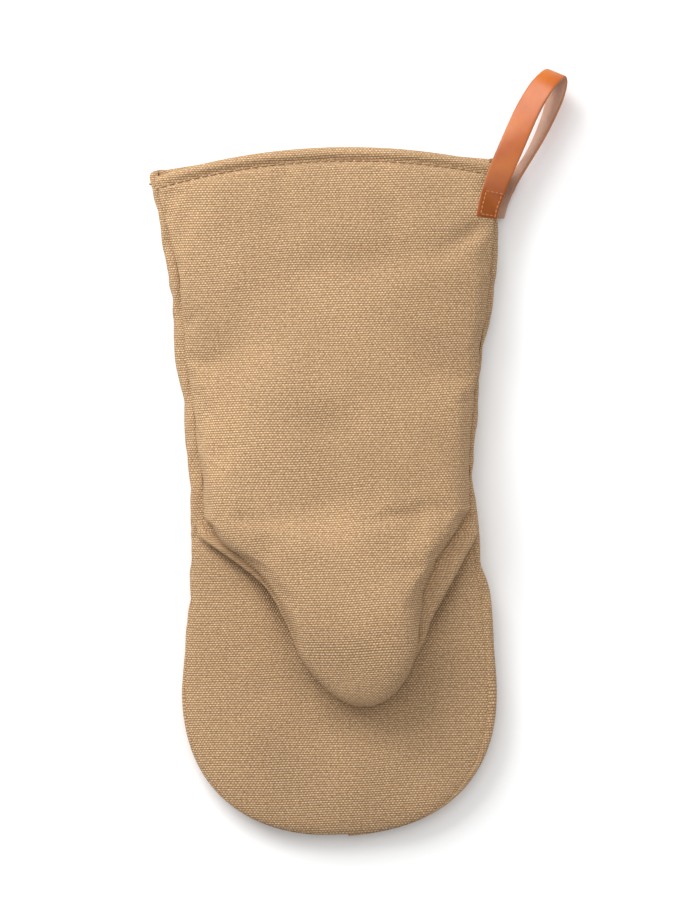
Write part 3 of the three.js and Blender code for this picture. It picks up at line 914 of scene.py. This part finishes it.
def thread_material(name, colour):
    """Spun polyester sewing thread: fine plies, a slight gloss."""
    material, tree = new_material(name)
    place = add(tree, "ShaderNodeTexCoord", {}, {}).outputs["Object"]
    plies = add(tree, "ShaderNodeTexNoise", {}, {"Vector": place, "Scale": 2600.0, "Detail": 1.0})
    tint = add(
        tree, "ShaderNodeMapRange", {},
        {"Value": plies.outputs["Fac"], "From Min": 0.3, "From Max": 0.7, "To Min": 0.75,
         "To Max": 1.15},
    )
    shade = add(
        tree, "ShaderNodeVectorMath", {"operation": "SCALE"},
        {0: srgb(colour)[:3], "Scale": tint.outputs[0]},
    )
    bump = add(
        tree, "ShaderNodeBump", {},
        {"Strength": 0.4, "Distance": 0.0002, "Height": plies.outputs["Fac"]},
    )
    shader = add(
        tree, "ShaderNodeBsdfPrincipled", {},
        {"Base Color": shade.outputs[0], "Roughness": 0.7, "Specular IOR Level": 0.3,
         "Normal": bump.outputs[0]},
    )
    add(tree, "ShaderNodeOutputMaterial", {}, {"Surface": shader.outputs[0]})
    return material


sewing = thread_material("tan_sewing_thread", "a58664")
for piece in (back_canvas, front_canvas, palm_finger, palm_thumb):
    piece.data.update()
stitch_row = back_rows.index(HEM_STITCH)
hem_cells = [(i, stitch_row) for i in range(3, FRONT_COLUMNS - 2)]
back_cells = [(i, stitch_row) for i in range(5, BACK_COLUMNS - 4)]
for name, inside in (("hem_needle_thread", -0.5), ("hem_bobbin_thread", HEM_THROUGH)):
    stitches = stitched(seam_line(front_canvas, front_grid, hem_cells, inside))
    stitches += stitched(seam_line(back_canvas, back_grid, back_cells, inside))
    hem = sew("stitches_" + name, stitches, sewing)
    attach(hem, "cuff")
    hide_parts(name)

# ---- Side, thumb and finger seams
# The panels are sewn face to face and turned, so only a little thread shows, deep between them.
SEAM_SUNK = 0.5
SEAM_STITCH_LONG = 2.2
SEAM_PITCH = 3.2
SEAM_STITCH_THICK = 0.8
crotch_row = next(
    j for j, row in enumerate(front_rows) if CUFF_CORNER - HEM_TURN_R - row < THUMB_AT
)
finger_end = len(finger_rows)
SIDE_ROWS = range(HEM_HELD, crotch_row)
SEAMS = [
    ("left_seam_thread", front_canvas, front_grid, [(0, j) for j in SIDE_ROWS], None),
    ("right_seam_thread", front_canvas, front_grid, [(FRONT_COLUMNS, j) for j in SIDE_ROWS], None),
    (
        "thumb_seam_thread", front_canvas, front_grid,
        [(0, j) for j in range(crotch_row, len(front_rows))]
        + [(FRONT_COLUMNS, j) for j in reversed(range(crotch_row, len(front_rows)))],
        "thumb",
    ),
    (
        "finger_seam_thread", palm_finger, finger_grid,
        [(0, j) for j in range(finger_end)]
        + [(PALM_COLUMNS, j) for j in reversed(range(finger_end))],
        "fingers",
    ),
]
for name, piece, order, cells, body in SEAMS:
    stitches = stitched(seam_line(piece, order, cells, SEAM_SUNK), SEAM_PITCH)
    seam = sew("stitches_" + name, stitches, sewing, SEAM_STITCH_LONG, SEAM_STITCH_THICK)
    if body:
        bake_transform(seam)
    else:
        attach(seam, "cuff")
    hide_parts(name)

# ---- Hanging strap
# One strip of cognac leather doubled into a loop over the right side seam. The front end lies on
# the front panel and the back end under the back panel. The face outside is smooth and glazed,
# the flesh side inside is pale and fibrous, and the cut edges are raw.
STRAP_THICK = 1.5
STRAP_CLEAR = 0.3
STRAP_EDGE = 0.3  # rounding of the cut edges
# Left and right edge of the inner face at stations from the front end round the loop to the back.
STRAP_STATIONS = [
    (71.0, 125.7, 21.0, 80.7, 124.1, 18.4),
    (72.0, 130.6, 21.0, 82.0, 129.0, 18.4),
    (73.7, 136.4, 20.8, 84.3, 134.4, 18.4),
    (76.0, 143.3, 20.2, 86.9, 140.6, 18.8),
    (79.2, 151.4, 19.0, 90.2, 147.8, 19.4),
    (83.0, 159.6, 17.8, 93.8, 155.7, 20.4),
    (87.0, 167.9, 17.0, 97.4, 163.8, 21.4),
    (90.9, 175.7, 16.8, 101.0, 171.4, 22.0),
    (95.2, 182.7, 16.6, 104.8, 178.3, 22.0),
    (99.4, 188.4, 16.0, 108.7, 183.9, 21.2),
    (103.8, 192.5, 14.2, 112.6, 188.0, 18.8),
    (106.8, 194.0, 11.0, 115.0, 189.9, 15.6),
    (108.2, 192.6, 7.4, 116.0, 188.4, 13.4),
    (108.6, 188.4, 4.4, 115.8, 185.2, 12.4),
    (107.4, 181.2, 2.8, 113.9, 179.0, 12.2),
    (105.3, 173.6, 2.3, 110.7, 172.2, 12.2),
    (102.5, 166.2, 2.2, 107.0, 165.2, 12.0),
    (99.0, 158.8, 2.2, 102.8, 158.2, 11.4),
    (94.6, 151.6, 2.2, 98.2, 151.2, 10.4),
    (89.0, 144.6, 2.2, 93.4, 144.0, 8.6),
    (82.8, 137.6, 2.0, 89.4, 137.2, 6.0),
    (77.6, 131.2, 1.9, 86.4, 130.8, 3.6),
    (74.6, 126.2, 1.8, 84.6, 125.0, 2.8),
]
STRAP_COLUMNS = 8
STRAP_ROWS = 110
ABOVE_ALL = 60.0


def leather_material(name, tones, roughness, grain, gloss, painted_shade=1.0):
    """Vegetable-tanned leather: fine pores, a slow change of colour, and a soft sheen. It has
    painted shade: darker towards the strap's lower ends, down to the share given last, for the
    shade on the ends that tilt away from the light."""
    material, tree = new_material(name)
    place = add(tree, "ShaderNodeTexCoord", {}, {}).outputs["Object"]
    pores = add(tree, "ShaderNodeTexVoronoi", {}, {"Vector": place, "Scale": 1900.0})
    cloud = add(tree, "ShaderNodeTexNoise", {}, {"Vector": place, "Scale": 60.0, "Detail": 4.0})
    ramp = add(tree, "ShaderNodeValToRGB", {}, {"Fac": cloud.outputs["Fac"]})
    for element, position, colour in zip(ramp.color_ramp.elements, (0.3, 0.7), tones):
        element.position = position
        element.color = srgb(colour)
    # Painted shade: the colour is scaled down towards the strap's lower ends (object Y from 0.170 m
    # down to 0.132 m), for the shade on the ends that tilt away from the light.
    up_strap = add(tree, "ShaderNodeSeparateXYZ", {}, {0: place})
    fleck_and_painted_shade = add(
        tree, "ShaderNodeMapRange", {},
        {"Value": up_strap.outputs[1], "From Min": 0.132, "From Max": 0.170, "To Min": painted_shade,
         "To Max": 1.0},
    )
    toned = add(
        tree, "ShaderNodeVectorMath", {"operation": "SCALE"},
        {0: ramp.outputs["Color"], "Scale": fleck_and_painted_shade.outputs[0]},
    )
    height = add(
        tree, "ShaderNodeMath", {"operation": "MULTIPLY_ADD"},
        {0: pores.outputs["Distance"], 1: 0.5, 2: cloud.outputs["Fac"]},
    )
    bump = add(
        tree, "ShaderNodeBump", {},
        {"Strength": grain, "Distance": 0.0003, "Height": height.outputs[0]},
    )
    shader = add(
        tree, "ShaderNodeBsdfPrincipled", {},
        {"Base Color": toned.outputs[0], "Roughness": roughness,
         "Specular IOR Level": gloss, "Normal": bump.outputs[0]},
    )
    add(tree, "ShaderNodeOutputMaterial", {}, {"Surface": shader.outputs[0]})
    return material


# The grain side gets painted shade, down to 0.66 towards its lower ends.
strap_face = leather_material(
    "cognac_leather_grain_side", ("a44e17", "bb6620"), 0.36, 0.12, 0.36, 0.66
)
strap_flesh = leather_material("leather_flesh_side", ("a98472", "c9a591"), 0.95, 0.8, 0.1)
strap_edge = leather_material("raw_cut_leather_edge", ("a2694a", "c08a68"), 0.85, 0.6, 0.2)
station_curves = [
    through([(k, station[axis]) for k, station in enumerate(STRAP_STATIONS)]) for axis in range(6)
]


def strap_place(across, along):
    """A place on the strap's inner face, across from its left edge and along from the front end."""
    x0, y0, z0, x1, y1, z1 = (curve(along * (len(STRAP_STATIONS) - 1)) for curve in station_curves)
    return Vector((mix(x0, x1, across), mix(y0, y1, across), mix(z0, z1, across)))


bpy.context.view_layer.update()
front_face = BVHTree.FromObject(front_canvas, bpy.context.evaluated_depsgraph_get())


def on_front(place):
    """Lifts a place on the front end of the strap clear of the canvas below it."""
    above = Vector((place.x, place.y, ABOVE_ALL)) * MM
    hit = front_face.ray_cast(above, Vector((0, 0, -1)))[0]
    if hit:
        place.z = max(place.z, hit.z / MM + STRAP_CLEAR)
    return place


bm = bmesh.new()
bmesh.ops.create_grid(bm, x_segments=STRAP_COLUMNS, y_segments=STRAP_ROWS, size=0.5)
for v in bm.verts:
    place = strap_place(v.co.x + 0.5, v.co.y + 0.5)
    v.co = (on_front(place) if v.co.y < 0 else place) * MM
bmesh.ops.reverse_faces(bm, faces=bm.faces)
for face in bm.faces:
    face.smooth = True
strap_mesh = bpy.data.meshes.new("hanging_strap")
bm.to_mesh(strap_mesh)
bm.free()
strap = bpy.data.objects.new("hanging_strap", strap_mesh)
bpy.context.scene.collection.objects.link(strap)
for material in (strap_flesh, strap_face, strap_edge):
    strap_mesh.materials.append(material)
wall = strap.modifiers.new("thickness", "SOLIDIFY")
wall.thickness = STRAP_THICK * MM
wall.offset = 1
wall.use_even_offset = True
wall.material_offset = 1
wall.material_offset_rim = 2
rounding = strap.modifiers.new("edge", "BEVEL")
rounding.width = STRAP_EDGE * MM
rounding.segments = 2
rounding.limit_method = "ANGLE"
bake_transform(strap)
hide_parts("strap_front_tab", "strap_back_tab", "strap_loop")

# ---- Strap stitches
# A small box of stitches through the strap's ends, sunk into the leather.
strap_thread = thread_material("rust_sewing_thread", "b8764a")
BOX_ACROSS = (0.16, 0.84)
BOX_ALONG = (0.012, 0.1)
STRAP_PITCH = 2.2
STRAP_STITCH_LONG = 1.8
STRAP_STITCH_THICK = 0.6
STRAP_STITCH_PROUD = 0.05
SIDE_STEPS = 8
for name, at_front in (("strap_needle_thread", True), ("strap_bobbin_thread", False)):
    corners = [(BOX_ACROSS[k], BOX_ALONG[m]) for k, m in ((0, 0), (0, 1), (1, 1), (1, 0), (0, 0))]
    line = []
    for (across0, along0), (across1, along1) in zip(corners, corners[1:]):
        for k in range(SIDE_STEPS):
            share = k / SIDE_STEPS
            across, along = mix(across0, across1, share), mix(along0, along1, share)
            along = along if at_front else 1 - along
            here = strap_place(across, along)
            side = strap_place(across + 0.05, along) - here
            ahead = strap_place(across, along + (0.01 if at_front else -0.01)) - here
            out = side.cross(ahead).normalized() * (1 if at_front else -1)
            out = out if (out.z > 0) == at_front else -out
            here = on_front(here) if at_front else here
            line.append(((here + out * (STRAP_THICK + STRAP_STITCH_PROUD)) * MM, out))
    line.append(line[0])
    box_stitch = sew(
        "stitches_" + name, stitched(line, STRAP_PITCH), strap_thread, STRAP_STITCH_LONG,
        STRAP_STITCH_THICK,
    )
    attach(box_stitch, "cuff")
    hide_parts(name)

# ---- Table and light
# A plain white table, and soft light from the upper left.
TABLE_HALF = 6.0  # metres
TABLE_BELOW = 0.0008
table, tree = new_material("matt_white_paper")
shader = add(
    tree, "ShaderNodeBsdfPrincipled", {}, {"Base Color": srgb("fbfbfb"), "Roughness": 0.9}
)
add(tree, "ShaderNodeOutputMaterial", {}, {"Surface": shader.outputs[0]})
bm = bmesh.new()
bmesh.ops.create_grid(bm, x_segments=1, y_segments=1, size=TABLE_HALF)
bmesh.ops.translate(bm, verts=bm.verts, vec=(0, 0, -TABLE_BELOW))
floor_mesh = bpy.data.meshes.new("floor")
bm.to_mesh(floor_mesh)
bm.free()
floor_mesh.materials.append(table)
floor = bpy.data.objects.new("floor", floor_mesh)
bpy.context.scene.collection.objects.link(floor)

world = bpy.data.worlds.new("studio")
bpy.context.scene.world = world
world.use_nodes = True
background = world.node_tree.nodes["Background"]
background.inputs["Color"].default_value = srgb("ffffff")
background.inputs["Strength"].default_value = 0.42
# Name, place and size in metres, power in watts.
LAMPS = [("window", (-0.75, 1.0, 0.85), 1.0, 24.0), ("fill", (0.2, 0.5, 1.8), 1.8, 18.0)]
for name, place, size, power_w in LAMPS:
    lamp = bpy.data.lights.new(name, "AREA")
    lamp.size = size
    lamp.energy = power_w
    holder = bpy.data.objects.new(name, lamp)
    holder.location = place
    holder.rotation_euler = (Vector((0, 0, 0)) - Vector(place)).to_track_quat("-Z", "Y").to_euler()
    bpy.context.scene.collection.objects.link(holder)
bpy.context.scene.view_settings.view_transform = "Standard"

# ---- Camera
# Straight above, far off with a long lens, turned a little clockwise.
PICTURE_HIGH = 0.4285  # metres from the top of the view to its bottom, at SHARP_AT
SHARP_AT = 0.015
CAMERA_HEIGHT = 2.6
lens = bpy.data.cameras.new("camera")
lens.sensor_fit = "VERTICAL"
lens.sensor_height = 24.0
lens.lens = lens.sensor_height * (CAMERA_HEIGHT - SHARP_AT) / PICTURE_HIGH
camera = bpy.data.objects.new("camera", lens)
camera.location = (0.0038, 0.0148, CAMERA_HEIGHT)
camera.rotation_euler = (0, 0, math.radians(-2))
bpy.context.scene.collection.objects.link(camera)
bpy.context.scene.camera = camera
